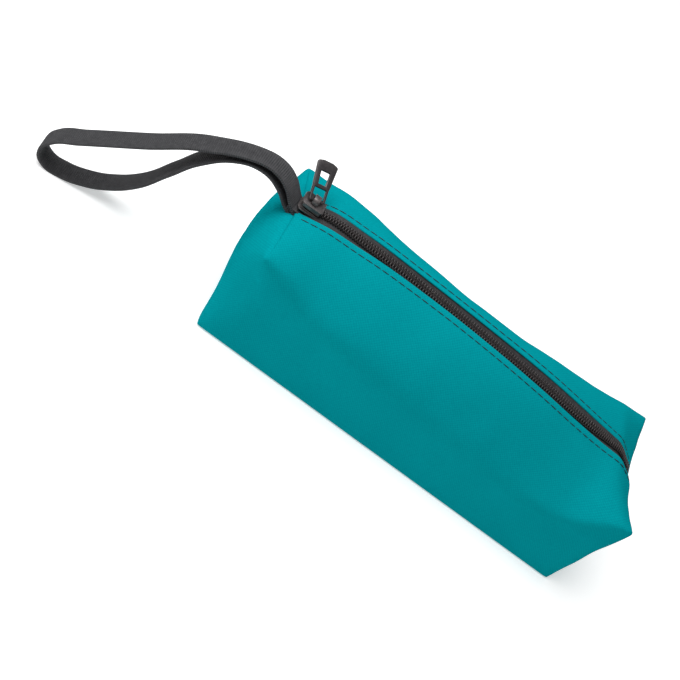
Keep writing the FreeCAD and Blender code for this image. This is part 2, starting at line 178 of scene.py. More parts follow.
def add_sheet(name, low, high, across):
    """A flat grid between two corners, with a number of cells each way."""
    deselect_all()
    low, high = Vector((*low, 0)), Vector((*high, 0))
    bpy.ops.mesh.primitive_grid_add(
        x_subdivisions=across[0], y_subdivisions=across[1], size=1, location=(low + high) / 2)
    bpy.context.object.scale = (high.x - low.x, high.y - low.y, 1)
    return added(name)


def edit(piece, kind, test):
    """Open a piece in edit mode with the parts of one kind selected that pass a test."""
    only(piece)
    bpy.ops.object.mode_set(mode="EDIT")
    bpy.ops.mesh.select_mode(type=kind)
    bpy.ops.mesh.select_all(action="DESELECT")
    bpy.ops.object.mode_set(mode="OBJECT")
    mesh = piece.data
    if kind == "VERT":
        for vertex in mesh.vertices:
            vertex.select = test(vertex.co)
    elif kind == "EDGE":
        for edge in mesh.edges:
            edge.select = test(*(mesh.vertices[index].co for index in edge.vertices))
    else:
        for face in mesh.polygons:
            face.select = test(face)
    bpy.ops.object.mode_set(mode="EDIT")


def finish_with(piece, kind, **settings):
    """Give a piece one modifier and apply it."""
    only(piece)
    modifier = piece.modifiers.new(kind.lower(), kind)
    for name, value in settings.items():
        setattr(modifier, name, value)
    bpy.ops.object.modifier_apply(modifier=modifier.name)
    return piece


def repeat(piece, count, pitch, **settings):
    """Repeat a piece along X."""
    finish_with(
        piece, "ARRAY", count=count, use_relative_offset=False, use_constant_offset=True,
        constant_offset_displace=(pitch, 0, 0), **settings)


def shape(piece, move):
    """Move every point of a piece to where a function says."""
    for vertex in piece.data.vertices:
        vertex.co = move(vertex.co)
    piece.data.update()


def round_shading(piece, degrees=180):
    only(piece)
    bpy.ops.object.shade_smooth_by_angle(angle=math.radians(degrees))
    return piece


def join(name, pieces):
    deselect_all()
    for piece in pieces:
        piece.select_set(True)
    bpy.context.view_layer.objects.active = pieces[0]
    bpy.ops.object.join()
    pieces[0].name = pieces[0].data.name = name
    return pieces[0]


def turn_outwards():
    """Turn all faces of the piece that is being edited outwards, and leave it."""
    bpy.ops.mesh.select_all(action="SELECT")
    bpy.ops.mesh.normals_make_consistent(inside=False)
    leave_edit()


def face_outwards(piece):
    """Weld a piece's meeting points and turn its faces outwards."""
    edit(piece, "FACE", lambda face: True)
    bpy.ops.mesh.remove_doubles(threshold=NEAR)
    turn_outwards()


# The form of the soft bag

@functools.lru_cache(maxsize=None)
def section(x, side):
    """The cloth's line at one place along the bag, from its base edge over the shoulder to the zip."""
    ridge = along(FRONT_RIDGE if side < 0 else BACK_RIDGE, x)
    roundness = along(FRONT_ROUND if side < 0 else BACK_ROUND, x)
    crown = along(CROWN, x)
    turn = np.linspace(0, math.pi / 2, SECTION_STEPS)
    reach = (np.cos(turn) ** roundness + np.sin(turn) ** roundness) ** (-1 / roundness)
    across = np.cos(turn) * reach
    drop = (crown - ridge) * (1 - np.sin(turn) * reach)
    level = np.hypot(drop, ZIP_FLAT) - ZIP_FLAT
    height = crown - level * (drop[0] / level[0]) + along(EAR_RISE, x) * across ** 2
    y = np.concatenate(([HALF_WIDTH], across * HALF_WIDTH))
    z = np.concatenate(([0], height * MM))
    y, z = soft_line(y, z, along(FRONT_SOFT if side < 0 else BACK_SOFT, x) * MM)
    length = line_length(y, z)
    return length / length[-1], y, z


def line_length(y, z):
    return np.concatenate(([0], np.cumsum(np.hypot(np.diff(y), np.diff(z)))))


def soft_line(y, z, reach):
    """Soften a section's line, with its base edge held and its two halves meeting level at the zip."""
    length = line_length(y, z)
    even = np.linspace(0, length[-1], SECTION_STEPS)
    y, z = np.interp(even, length, y), np.interp(even, length, z)
    count = math.ceil(SOFT_SPAN * reach / even[1])
    weights = np.exp(-(np.arange(-count, count + 1) * even[1] / reach) ** 2 / 2)
    weights /= weights.sum()
    below = slice(count, 0, -1)
    beyond = slice(-2, -count - 2, -1)
    y = np.concatenate((2 * y[0] - y[below], y, -y[beyond]))
    z = np.concatenate((2 * z[0] - z[below], z, z[beyond]))
    return np.convolve(y, weights, "valid"), np.convolve(z, weights, "valid")


def on_section(x, side, run):
    """The point that lies a flat run of cloth up from the base edge."""
    share, y, z = section(round(x, 4), side)
    place = run / GIRTH
    return side * float(np.interp(place, share, y)), float(np.interp(place, share, z))


def top_point(x, y):
    """Where a point of the flat top lies, x along the bag and y across it from the zip's middle."""
    side = -1 if y < 0 else 1
    gap = along(HALF_GAP, x) * MM
    far = abs(y)
    if far < HEM:
        far *= gap / HEM
    else:
        far -= (HEM - gap) * max(0, 1 - (far - HEM) / (HINGE - HEM))
    across, height = on_section(x, side, GIRTH - far)
    tilt = min(1, abs(across) / gap) * (1 - smooth(gap, gap + TILT_REACH * MM, abs(across)))
    return pinch(Vector((x, across, height + side * tilt * along(ZIP_TILT, x) * MM)))


# How the ends bulge, lean, round off and draw in at their seams
LEFT_BULGE, RIGHT_BULGE = 9 * MM, 3 * MM
BULGE_RISE = 1.4
LEFT_LEAN, RIGHT_LEAN = 3.5 * MM, 3.2 * MM
PINCH_DEPTH = 4 * MM
LEAN_START = 70 * MM
FRONT_LEFT_CORNER, BACK_LEFT_CORNER, RIGHT_CORNER = 18 * MM, 4 * MM, 4 * MM
CORNER_LEAST, EAR_ROUND = 1.6 * MM, 4.5 * MM
KNOB_DEPTH, KNOB_PLACE, KNOB_REACH = 2.5 * MM, -8 * MM, 5 * MM
SEAM_DIP, TOP_LEFT_DIP, DIP_DOWN = 1.1 * MM, 2 * MM, 0.6


def pinch(point):
    """Both ends lean in at the top, and the zip's end draws the right one in between its corners."""
    strength = smooth(LEAN_START, HALF_LENGTH, abs(point.x))
    height = min(1, max(0, point.z / CORNER_HEIGHT)) ** 2
    if point.x > 0:
        middle = max(0, 1 - abs(point.y) / HALF_WIDTH)
        knob = math.exp(-((point.y - KNOB_PLACE) / KNOB_REACH) ** 2)
        lean = RIGHT_LEAN + PINCH_DEPTH * middle - KNOB_DEPTH * knob
    else:
        lean = LEFT_LEAN * (1 - smooth(0, HALF_WIDTH, point.y))
    return point - Vector((math.copysign(lean * strength * height, point.x), 0, 0))


def drape(flat):
    """Where a point of the flat box of cloth lies on the soft bag."""
    x, y, z = flat
    side = -1 if y < 0 else 1
    on_side = abs(y) > HALF_WIDTH - NEAR
    on_end = abs(x) > HALF_LENGTH - NEAR
    on_top = z > CORNER_HEIGHT - NEAR
    on_base = z < NEAR
    if on_top:
        place = top_point(x, y)
    elif on_side:
        place = pinch(Vector((x, *on_section(x, side, z))))
    elif on_base:
        place = Vector((x, y, 0))
    else:
        edge, _ = on_section(x, side, z)
        top = top_point(x, y).z
        place = pinch(Vector((x, abs(edge) * y / HALF_WIDTH, z * top / CORNER_HEIGHT)))
    rise = min(1, max(0, z / CORNER_HEIGHT))
    if (on_side or on_end) and not on_top and not on_base:
        left = FRONT_LEFT_CORNER if y < 0 else BACK_LEFT_CORNER
        level = math.sin(math.pi * rise)
        place = round_corner(place, (left if x < 0 else RIGHT_CORNER) * level + CORNER_LEAST)
    if on_top and x > 0:
        place = round_corner(place, EAR_ROUND)
    if on_end:
        full = math.sin(math.pi * rise ** BULGE_RISE)
        bulge = (LEFT_BULGE if x < 0 else RIGHT_BULGE) * full * max(0, 1 - (y / HALF_WIDTH) ** 2)
        place.x += math.copysign(bulge, x)
        if on_top or on_base or abs(y) < NEAR:
            dip = TOP_LEFT_DIP if on_top and x < 0 else SEAM_DIP
            place.x -= math.copysign(dip, x)
            place.z += dip * (on_base - on_top) * DIP_DOWN
    return place


def round_corner(place, radius):
    """Wrap an upright corner of the box round a given radius."""
    end = abs(pinch(Vector((math.copysign(HALF_LENGTH, place.x), place.y, place.z))).x)
    over_x = abs(place.x) - (end - radius)
    over_y = abs(place.y) - (HALF_WIDTH - radius)
    if over_x <= 0 or over_y <= 0:
        return place
    share = max(over_x, over_y) / math.hypot(over_x, over_y)
    return Vector((
        math.copysign(end - radius + over_x * share, place.x),
        math.copysign(HALF_WIDTH - radius + over_y * share, place.y), place.z))


# Soft hollows and swells, as (x, z, reach along, reach up, depth) in millimetres
FRONT_DENTS = ((-62, 30, 34, 15, -1.4), (30, 27, 36, 13, -1.3), (74, 24, 26, 13, -1.6),
               (108, 36, 16, 12, -1.6), (-98, 30, 15, 16, -1.2))
BACK_DENTS = ((-70, 36, 30, 14, -1.7), (-5, 28, 34, 13, -1.5), (52, 40, 30, 14, -1.9),
              (100, 34, 18, 12, -1.6))
# Unevenness of the cloth, in waves to the metre and millimetres deep, and puckers that fade from the ends
BROAD_WAVES, BROAD_DEPTH = 38, 0.75
FINE_WAVES, FINE_DEPTH = 95, 0.26
FINE_SHIFT = Vector((7, 3, 5))
PUCKER_WAVES, PUCKER_SWAY, PUCKER_DEPTH, PUCKER_FADE = 0.62, 1.1, 0.45, 11 * MM
# Margins within which the cloth stays even beside the zip and the base
TOP_ZONE = CORNER_HEIGHT * 0.85
ZIP_MARGIN, HINGE_MARGIN, BASE_MARGIN = 3 * MM, 6 * MM, 9 * MM


def swell(place, normal):
    """How far the worn cloth stands out of its even form at a place."""
    amount = 0
    for x, z, reach_x, reach_z, depth in (FRONT_DENTS if place.y < 0 else BACK_DENTS):
        near = ((place.x / MM - x) / reach_x) ** 2 + ((place.z / MM - z) / reach_z) ** 2
        amount += depth * math.exp(-near)
    amount *= abs(normal.y)
    broad = noise.noise(place * BROAD_WAVES)
    fine = noise.noise(place * FINE_WAVES + FINE_SHIFT)
    ends = math.exp(-(HALF_LENGTH - abs(place.x)) / PUCKER_FADE) * abs(normal.z)
    pucker = math.sin(place.y / MM * PUCKER_WAVES + PUCKER_SWAY * math.sin(place.x / MM)) * ends
    amount += BROAD_DEPTH * broad + FINE_DEPTH * fine + PUCKER_DEPTH * pucker
    zip_clear = smooth(HEM + ZIP_MARGIN, HINGE + HINGE_MARGIN, abs(place.y)) if place.z > TOP_ZONE else 1
    return amount * MM * zip_clear * smooth(0, BASE_MARGIN, place.z)


def ruffle(piece):
    """Let the cloth sag and swell a little along its own normals."""
    normals = [vertex.normal.copy() for vertex in piece.data.vertices]
    for vertex, normal in zip(piece.data.vertices, normals):
        vertex.co += normal * swell(vertex.co, normal)
    piece.data.update()


SEAM_ROLL, SEAM_CREASE = 1.9 * MM, 0.75
# Each lip parts from the body where the cloth lies nearest to the line that it turns about, and a skirt of it
# stays under the body's cloth
LIP_EDGE = {-1: 23 * MM, 1: 24 * MM}
SKIRT_WIDTH, SKIRT_DROP = 6 * MM, 0.9 * MM
HALVES = {"left": (MOUTH_START, MOUTH_SPLIT), "right": (MOUTH_SPLIT, MOUTH_END)}
SIDES = {"front": -1, "back": 1}
LIPS = {f"{label}_lip_{end}": (side, *half) for label, side in SIDES.items() for end, half in HALVES.items()}


def cut_across(axis, places):
    """Cut the piece that is being edited across an axis at each place."""
    for place in places:
        bpy.ops.mesh.select_all(action="SELECT")
        bpy.ops.mesh.bisect(plane_co=Vector(axis) * place, plane_no=axis)


def cut_places(low, high, spacing, keep):
    """Even places between two ends that also pass through the places to keep."""
    stops = sorted({low, *keep, high})
    places = []
    for start, stop in zip(stops, stops[1:]):
        count = max(1, round((stop - start) / spacing))
        places += [start + (stop - start) * index / count for index in range(count)]
    return places[1:]


def cut_box():
    """A box of cloth, cut along even lines and along the edges of its seams, hems and mouth."""
    cloth = add_block("bag_cloth", (-HALF_LENGTH, -HALF_WIDTH, 0), (HALF_LENGTH, HALF_WIDTH, CORNER_HEIGHT))
    ends = (SEAM_ROLL - HALF_LENGTH, HALF_LENGTH - SEAM_ROLL)
    sides = (-LIP_EDGE[-1], -HEM, -SEAM_ROLL, 0, SEAM_ROLL, HEM, LIP_EDGE[1])
    lines = (
        cut_places(-HALF_LENGTH, HALF_LENGTH, CLOTH_GRID, (*ends, MOUTH_START, MOUTH_SPLIT, MOUTH_END)),
        cut_places(-HALF_WIDTH, HALF_WIDTH, CLOTH_GRID, sides),
        cut_places(0, CORNER_HEIGHT, CLOTH_GRID, (SEAM_ROLL, CORNER_HEIGHT - SEAM_ROLL)),
    )
    bpy.ops.object.mode_set(mode="EDIT")
    for axis, places in zip(Matrix.Identity(3), lines):
        cut_across(axis, places)
    bpy.ops.mesh.select_all(action="SELECT")
    bpy.ops.uv.cube_project(cube_size=1, correct_aspect=False, clip_to_bounds=False, scale_to_bounds=False)
    leave_edit()
    return cloth


def on_seam(first, second):
    """Whether an edge of the flat box lies on one of the sewn lines of its ends."""
    both = (first, second)
    if not all(abs(spot.x) > HALF_LENGTH - NEAR for spot in both):
        return False
    level = all(spot.z > CORNER_HEIGHT - NEAR for spot in both) or all(spot.z < NEAR for spot in both)
    return level or all(abs(spot.y) < NEAR for spot in both)


def over_mouth(face):
    return face.center.z > CORNER_HEIGHT - NEAR and abs(face.center.y) < HEM


def mark_lips(cloth):
    """Give each quarter of the lips, and its skirt, a material number of its own, kept until they part."""
    for _ in range(2 * len(LIPS) + 1):
        cloth.data.materials.append(None)
    for face in cloth.data.polygons:
        middle = face.center
        for number, (side, low, high) in enumerate(LIPS.values(), 1):
            if middle.z < CORNER_HEIGHT - NEAR or not low < middle.x < high:
                continue
            beyond = middle.y * side - LIP_EDGE[side]
            if -LIP_EDGE[side] < beyond < 0:
                face.material_index = number
            elif 0 < beyond < SKIRT_WIDTH:
                face.material_index = number + len(LIPS)


# The turned hem, as steps (towards the zip, up) in millimetres, and where its edge is looked for
HEM_STEPS = ((0.30, -0.22), (0.22, -0.38), (-0.05, -0.42), (-0.6, -0.3), (-1.4, -0.65))
HEM_REACH, HEM_ZONE = 1.4 * MM, CORNER_HEIGHT * 0.8


def fold_hems(cloth):
    """Turn the cloth's edge down and under itself on both sides of the zip."""
    for side in SIDES.values():
        def is_hem(first, second):
            off = [abs(abs(spot.y) - along(HALF_GAP, spot.x) * MM) for spot in (first, second)]
            level = abs(first.x - second.x) > abs(first.z - second.z)
            return max(off) < HEM_REACH and level and first.y * side > 0 and first.z > HEM_ZONE
        edit(cloth, "EDGE", is_hem)
        for inward, down in HEM_STEPS:
            bpy.ops.mesh.extrude_edges_move(
                TRANSFORM_OT_translate={"value": (0, -side * inward * MM, down * MM)})
        leave_edit()


def cut_off(piece, name, test, keep=False):
    """Take the faces that pass a test, or a copy of them, off a piece as a piece of their own."""
    before = set(bpy.data.objects)
    edit(piece, "FACE", test)
    if keep:
        bpy.ops.mesh.duplicate()
    bpy.ops.mesh.separate(type="SELECTED")
    leave_edit()
    part = (set(bpy.data.objects) - before).pop()
    part.name = part.data.name = name
    return part


def make_cloth():
    """The body and the four quarters of the mouth's lips, all from one sheet."""
    cloth = cut_box()
    edit(cloth, "EDGE", on_seam)
    bpy.ops.transform.edge_crease(value=SEAM_CREASE)
    edit(cloth, "FACE", over_mouth)
    bpy.ops.mesh.delete(type="FACE")
    leave_edit()
    mark_lips(cloth)
    shape(cloth, drape)
    fold_hems(cloth)
    ruffle(cloth)
    finish_with(cloth, "SUBSURF", levels=1, render_levels=1)
    pieces = {"bag_cloth": cloth}
    for number, name in enumerate(LIPS, 1):
        below = number + len(LIPS)
        skirt = cut_off(cloth, f"{name}_skirt", lambda face: face.material_index == below, keep=True)
        edit(skirt, "FACE", lambda face: True)
        bpy.ops.transform.shrink_fatten(value=-SKIRT_DROP)
        lip = cut_off(cloth, name, lambda face: face.material_index == number)
        pieces[name] = join(name, [lip, skirt])
    for piece in pieces.values():
        finish_with(piece, "SOLIDIFY", thickness=CLOTH, offset=-1, use_even_offset=False)
        round_shading(piece, 60)
    return pieces


# The zip

BACK_TAPE_RISE, BACK_TAPE_START = 0.6, -0.2 * HEM
TAPE_NEAR, TAPE_FAR, TAPE_THICKNESS = 0.4 * MM, 14 * MM, 0.5 * MM
TAPE_CELL, TAPE_RIB = 3 * MM, 0.05 * MM


def zip_spot(x, y):
    """The place of the tapes' upper face under a point of the flat top, which rises to the back hem."""
    depth = along(ZIP_DEPTH, x) * (1 - BACK_TAPE_RISE * smooth(BACK_TAPE_START, HEM, y))
    return top_point(x, y) - Vector((0, 0, depth * MM))


def make_tape(name, side, low, high):
    """A strip of woven tape under one hem."""
    count = max(4, round((high - low) / TAPE_CELL))
    tape = add_sheet(name, (low, TAPE_NEAR), (high, TAPE_FAR), (count, 9))

    def lay(flat):
        rib = TAPE_RIB * math.sin(flat.y / MM * math.pi)
        return zip_spot(flat.x, side * flat.y) + Vector((0, 0, rib))
    shape(tape, lay)
    face_outwards(tape)
    downwards = -1 if tape.data.polygons[0].normal.z > 0 else 1
    finish_with(tape, "SOLIDIFY", thickness=TAPE_THICKNESS, offset=downwards)
    return round_shading(tape, 60)


# One turn of the coil in millimetres, the share of its width that is kept, the gap below which it narrows,
# and how far it lies to the front
COIL_PITCH = 1.65 * MM
COIL_TURN = ((0, 2.9, 0.45), (0.05, 3.05, 1.15), (0.13, 2.65, 1.85), (0.3, 1.2, 2.06), (0.46, -0.25, 1.95),
             (0.62, -0.78, 1.25), (0.84, -0.25, 0.62), (1.1, 1.2, 0.42), (1.45, 2.4, 0.36))
COIL_WIRE, COIL_WELD = 0.42 * MM, 0.05 * MM
COIL_WIDTH_SHARE, COIL_EDGE = 0.72, 2.8
COIL_SET = ((-122.5, 0.1), (-105, 0.1), (-80, 0.4), (-50, 0.8), (80, 0.8), (105, 0.3), (122.5, 0))


def make_coil(name, side, low, high):
    """One wound filament: a turn of it, repeated along the tape and bent to the bag's top."""
    curve = bpy.data.curves.new(name, "CURVE")
    curve.dimensions = "3D"
    curve.bevel_depth = COIL_WIRE
    curve.bevel_resolution = 1
    spline = curve.splines.new("POLY")
    turn = [*COIL_TURN, (COIL_PITCH / MM, *COIL_TURN[0][1:])]
    spline.points.add(len(turn) - 1)
    for point, (x, y, z) in zip(spline.points, turn):
        point.co = (x * MM, side * y * MM, z * MM, 1)
    only(add_object(name, curve))
    bpy.ops.object.convert(target="MESH")
    coil = bpy.context.object
    count = round((high - low) / COIL_PITCH)
    repeat(coil, count, COIL_PITCH, use_merge_vertices=True, merge_threshold=COIL_WELD)
    shift = low + (COIL_PITCH / 2 if side > 0 else 0)

    def lay(flat):
        x = flat.x + shift
        gap = along(HALF_GAP, x)
        across = flat.y * COIL_WIDTH_SHARE * min(1, gap / COIL_EDGE) - along(COIL_SET, x) * MM
        return zip_spot(x, across * HEM / (gap * MM)) + Vector((0, 0, flat.z))
    shape(coil, lay)
    edit(coil, "EDGE", lambda first, second: True)
    bpy.ops.mesh.fill_holes(sides=0)
    turn_outwards()
    return round_shading(coil)


STITCH_PITCH, STITCH_LENGTH, STITCH_THICKNESS, STITCH_LIFT = 5 * MM, 4.5 * MM, 0.5 * MM, 0.06 * MM
STITCH_INSET = {-1: 3.3 * MM, 1: 2.6 * MM}


def add_stitch(name, segments, rings, length, rotation=(0, 0, 0)):
    """One stitch of thread, as a long bead."""
    deselect_all()
    bpy.ops.mesh.primitive_uv_sphere_add(
        segments=segments, ring_count=rings, radius=0.5, rotation=rotation,
        scale=(STITCH_THICKNESS, STITCH_THICKNESS, length))
    return added(name)


def make_stitch_row(name, side, low, high):
    """A row of thread stitches that lies beside one hem."""
    row = add_stitch(name, 8, 6, STITCH_LENGTH, rotation=(0, math.pi / 2, 0))
    first = math.ceil(low / STITCH_PITCH)
    repeat(row, math.ceil(high / STITCH_PITCH) - first, STITCH_PITCH)

    def lay(flat):
        spot = top_point(flat.x + first * STITCH_PITCH, side * (HEM + STITCH_INSET[side]))
        return spot + Vector((0, flat.y, flat.z + STITCH_LIFT))
    shape(row, lay)
    return round_shading(row)


ZIP_END = {"tape": 120.5 * MM, "coil": 118 * MM, "topstitch": 118 * MM}


def make_zip():
    """Tapes, coils and stitches, each in quarters that part with the lips and an end that stays."""
    pieces = {}
    makers = {"tape": make_tape, "coil": make_coil, "topstitch": make_stitch_row}
    for what, make in makers.items():
        for label, side in SIDES.items():
            for end, (low, high) in HALVES.items():
                name = f"{label}_{what}_{end}"
                pieces[name] = make(name, side, low, high)
        fixed = [make(f"{label}_{what}_end", side, MOUTH_END, ZIP_END[what]) for label, side in SIDES.items()]
        pieces[f"end_{what}"] = join(f"zip_end_{what}", fixed)
    return pieces


# The strap

STRAP_WIDTH, STRAP_THICKNESS, RIB_PITCH = 12 * MM, 1.3 * MM, 1.1 * MM
STRAP_SKEW = math.radians(6.8)
STRAP_ROOT = Vector((-123.5, 0, 0)) * MM
# The loop's line out of the seam and back, as (distance from the seam, height) in millimetres
STRAP_LINE = ((-7, 66.6), (-2, 70.6), (4, 76), (12, 79.2), (24.3, 78.2), (46, 69.3), (70.6, 48.8), (96.2, 28),
              (107.6, 18.4), (111.2, 8.4), (106, 1.6), (97, 1), (86, 4.3), (75.4, 10.7), (62.9, 23.8),
              (53.4, 42.4), (44.1, 60.4), (32.5, 71.4), (17, 75.2), (6, 71.8), (-1, 67), (-7, 64.6))
ROOT_TWIST, TWIST_REACH = math.radians(-14), 45 * MM
RIB_HEIGHT, STRAP_SELVAGE = 0.2 * MM, 0.1 * MM


def make_strap():
    """Flat ribbed webbing, woven straight and then bent along the loop's line."""
    curve = bpy.data.curves.new("strap_line", "CURVE")
    curve.dimensions = "2D"
    curve.twist_mode = "Z_UP"
    curve.resolution_u = 24
    spline = curve.splines.new("BEZIER")
    spline.bezier_points.add(len(STRAP_LINE) - 1)
    for point, (out, up) in zip(spline.bezier_points, STRAP_LINE):
        point.co = (out * MM, up * MM, 0)
        point.handle_left_type = point.handle_right_type = "AUTO"
    line = add_object("strap_line", curve)
    length = spline.calc_length()
    ribs = round(length / RIB_PITCH)
    strap = add_sheet("strap_webbing", (0, -STRAP_WIDTH / 2), (length, STRAP_WIDTH / 2), (4 * ribs, 8))
    scale_uv(strap, length, STRAP_WIDTH)
    edge = STRAP_WIDTH / 2 - STRAP_SELVAGE

    def weave(flat):
        rib = RIB_HEIGHT * math.cos(2 * math.pi * flat.x / length * ribs)
        return Vector((flat.x, rib * (abs(flat.y) < edge), flat.y))
    shape(strap, weave)
    finish_with(strap, "SOLIDIFY", thickness=STRAP_THICKNESS, offset=0, use_even_offset=False)
    finish_with(strap, "CURVE", object=line, deform_axis="POS_X")
    bpy.data.objects.remove(line)
    out = Vector((-math.cos(STRAP_SKEW), -math.sin(STRAP_SKEW), 0))
    up = Vector((0, 0, 1))
    turn = Matrix((out, up, out.cross(up))).transposed().to_4x4()
    turn.translation = STRAP_ROOT
    strap.data.transform(turn)

    def sway(spot):
        angle = ROOT_TWIST * (1 - smooth(0, TWIST_REACH, STRAP_ROOT.x - spot.x))
        return Matrix.Rotation(angle, 3, "Z") @ (spot - STRAP_ROOT) + STRAP_ROOT
    shape(strap, sway)
    face_outwards(strap)
    return round_shading(strap, 50)


def scale_uv(piece, width, height):
    """Give a piece's unit UV map its real size in metres."""
    for corner in piece.data.uv_layers.active.data:
        corner.uv = (corner.uv[0] * width, corner.uv[1] * height)


# Slider and pull

SLIDER_LOW, SLIDER_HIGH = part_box("slider_body")
SLIDER_X = (SLIDER_LOW.x + SLIDER_HIGH.x) / 2
# Half the length and width of the slider's plates, their levels over the tapes, and their corners
PLATE_REACH, PLATE_SIDE = 6 * MM, 4.9 * MM
TOP_PLATE, BOTTOM_PLATE = (2.75 * MM, 3.85 * MM), (-1.95 * MM, -0.85 * MM)
NOSE_ROUND, TAIL_ROUND, PLATE_EDGE = 2.6 * MM, 1.1 * MM, 0.28 * MM
TAIL_START, TAPER_START, TAPER = 5 * MM, -2 * MM, 0.15
DIVIDER_LOW, DIVIDER_HIGH = (-5.6 * MM, -0.75 * MM, -1.2 * MM), (-1.8 * MM, 0.75 * MM, 3.0 * MM)
DIVIDER_ROUND = 0.6 * MM
WALL_START, WALL_STOP, WALL_PLACE, WALL_HALF = -4.4 * MM, 5.4 * MM, 3.45 * MM, 0.35 * MM
WALL_LEVELS, WALL_EDGE = ((0.6, 2.9), (-1.0, -0.3)), 0.2 * MM


def bevel_all(piece, width, segments=2):
    return finish_with(
        piece, "BEVEL", width=width, segments=segments, limit_method="ANGLE", angle_limit=math.radians(40))


def is_upright(first, second):
    return abs(first.z - second.z) > NEAR


def round_off(piece, kind, radius, segments, test):
    """Round the edges or corners of a piece that pass a test."""
    edit(piece, kind, test)
    bpy.ops.mesh.bevel(offset=radius, segments=segments, affect="VERTICES" if kind == "VERT" else "EDGES")
    leave_edit()


def make_slider_plate(name, low, high):
    """One plate of the slider, with a rounded nose and a narrower tail."""
    plate = add_block(name, (-PLATE_REACH, -PLATE_SIDE, low), (PLATE_REACH, PLATE_SIDE, high))
    round_off(plate, "EDGE", NOSE_ROUND, 4, lambda first, second: is_upright(first, second) and first.x < 0)
    round_off(
        plate, "EDGE", TAIL_ROUND, 3,
        lambda first, second: is_upright(first, second) and first.x > TAIL_START)

    def narrow(spot):
        share = 1 - TAPER * smooth(TAPER_START, PLATE_REACH, spot.x)
        return Vector((spot.x, spot.y * share, spot.z))
    shape(plate, narrow)
    return bevel_all(plate, PLATE_EDGE)


def make_slider():
    """The slider: two plates round the coil, a divider between them, side walls and an arched bridge."""
    plates = [make_slider_plate("slider_top", *TOP_PLATE), make_slider_plate("slider_bottom", *BOTTOM_PLATE)]
    divider = add_block("slider_divider", DIVIDER_LOW, DIVIDER_HIGH)
    round_off(divider, "EDGE", DIVIDER_ROUND, 3, is_upright)
    walls = []
    for side in SIDES.values():
        for low, high in WALL_LEVELS:
            wall = add_block(
                "slider_wall", (WALL_START, side * WALL_PLACE - WALL_HALF, low * MM),
                (WALL_STOP, side * WALL_PLACE + WALL_HALF, high * MM))
            walls.append(bevel_all(wall, WALL_EDGE))
    slider = round_shading(join("slider", [*plates, divider, *walls, make_bridge()]), 35)
    slider.data.transform(Matrix.Translation((SLIDER_X, 0, TAPE_TOP)))
    return slider


BRIDGE_HALF, BRIDGE_SPAN, BRIDGE_BAR, BRIDGE_EDGE = 1.7 * MM, 2.9 * MM, 0.9 * MM, 0.25 * MM
BRIDGE_FOOT, BRIDGE_RISE, BRIDGE_CUTS = 3.6 * MM, 3.95 * MM, 12
ARCH_ACROSS, ARCH_UP = 0.7, 0.55


def make_bridge():
    """The arch that holds the pull, bent up from a flat bar."""
    bar = add_block("slider_bridge", (-BRIDGE_HALF, -BRIDGE_SPAN, 0), (BRIDGE_HALF, BRIDGE_SPAN, BRIDGE_BAR))
    bpy.ops.object.mode_set(mode="EDIT")
    cut_across((0, 1, 0), [BRIDGE_SPAN * (2 * index / BRIDGE_CUTS - 1) for index in range(1, BRIDGE_CUTS)])
    leave_edit()

    def arch(spot):
        turn = spot.y / BRIDGE_SPAN * math.pi / 2
        depth = BRIDGE_BAR - spot.z
        round_y = math.copysign(abs(math.sin(turn)) ** ARCH_ACROSS, turn)
        round_z = max(0, math.cos(turn)) ** ARCH_UP
        height = BRIDGE_FOOT + round_z * (BRIDGE_RISE - depth)
        return Vector((spot.x, round_y * (BRIDGE_SPAN - depth), height))
    shape(bar, arch)
    return bevel_all(bar, BRIDGE_EDGE)


PULL_LIFT, PULL_LEAN = math.radians(30), math.radians(20)
PULL_PIVOT = Vector((SLIDER_X, 0, TAPE_TOP + 5.2 * MM))
# Rows along the pull, as (place, half width of the holes, half width), and where its loop and window are open
PULL_ROWS = ((-0.75, 3.2, 4.4), (0.6, 3.2, 4.4), (6.3, 3.2, 4.4), (8.2, 2.1, 4.7), (15, 2.5, 5.3),
             (19.45, 2.5, 5.7))
PULL_HOLES = ((0.6 * MM, 6.3 * MM), (8.2 * MM, 15 * MM))
PULL_THICKNESS, PULL_EDGE, ROOT_ROUND, TIP_ROUND = 1.6 * MM, 0.35 * MM, 2.2 * MM, 0.8 * MM
TIP_START, TIP_BOW, TIP_HALF = 18 * MM, 1.2 * MM, 5.5 * MM
ROOT_SIDE, TIP_SIDE, TIP_ROW, HOLE_SIDE = 4 * MM, 5 * MM, 19 * MM, 2 * MM


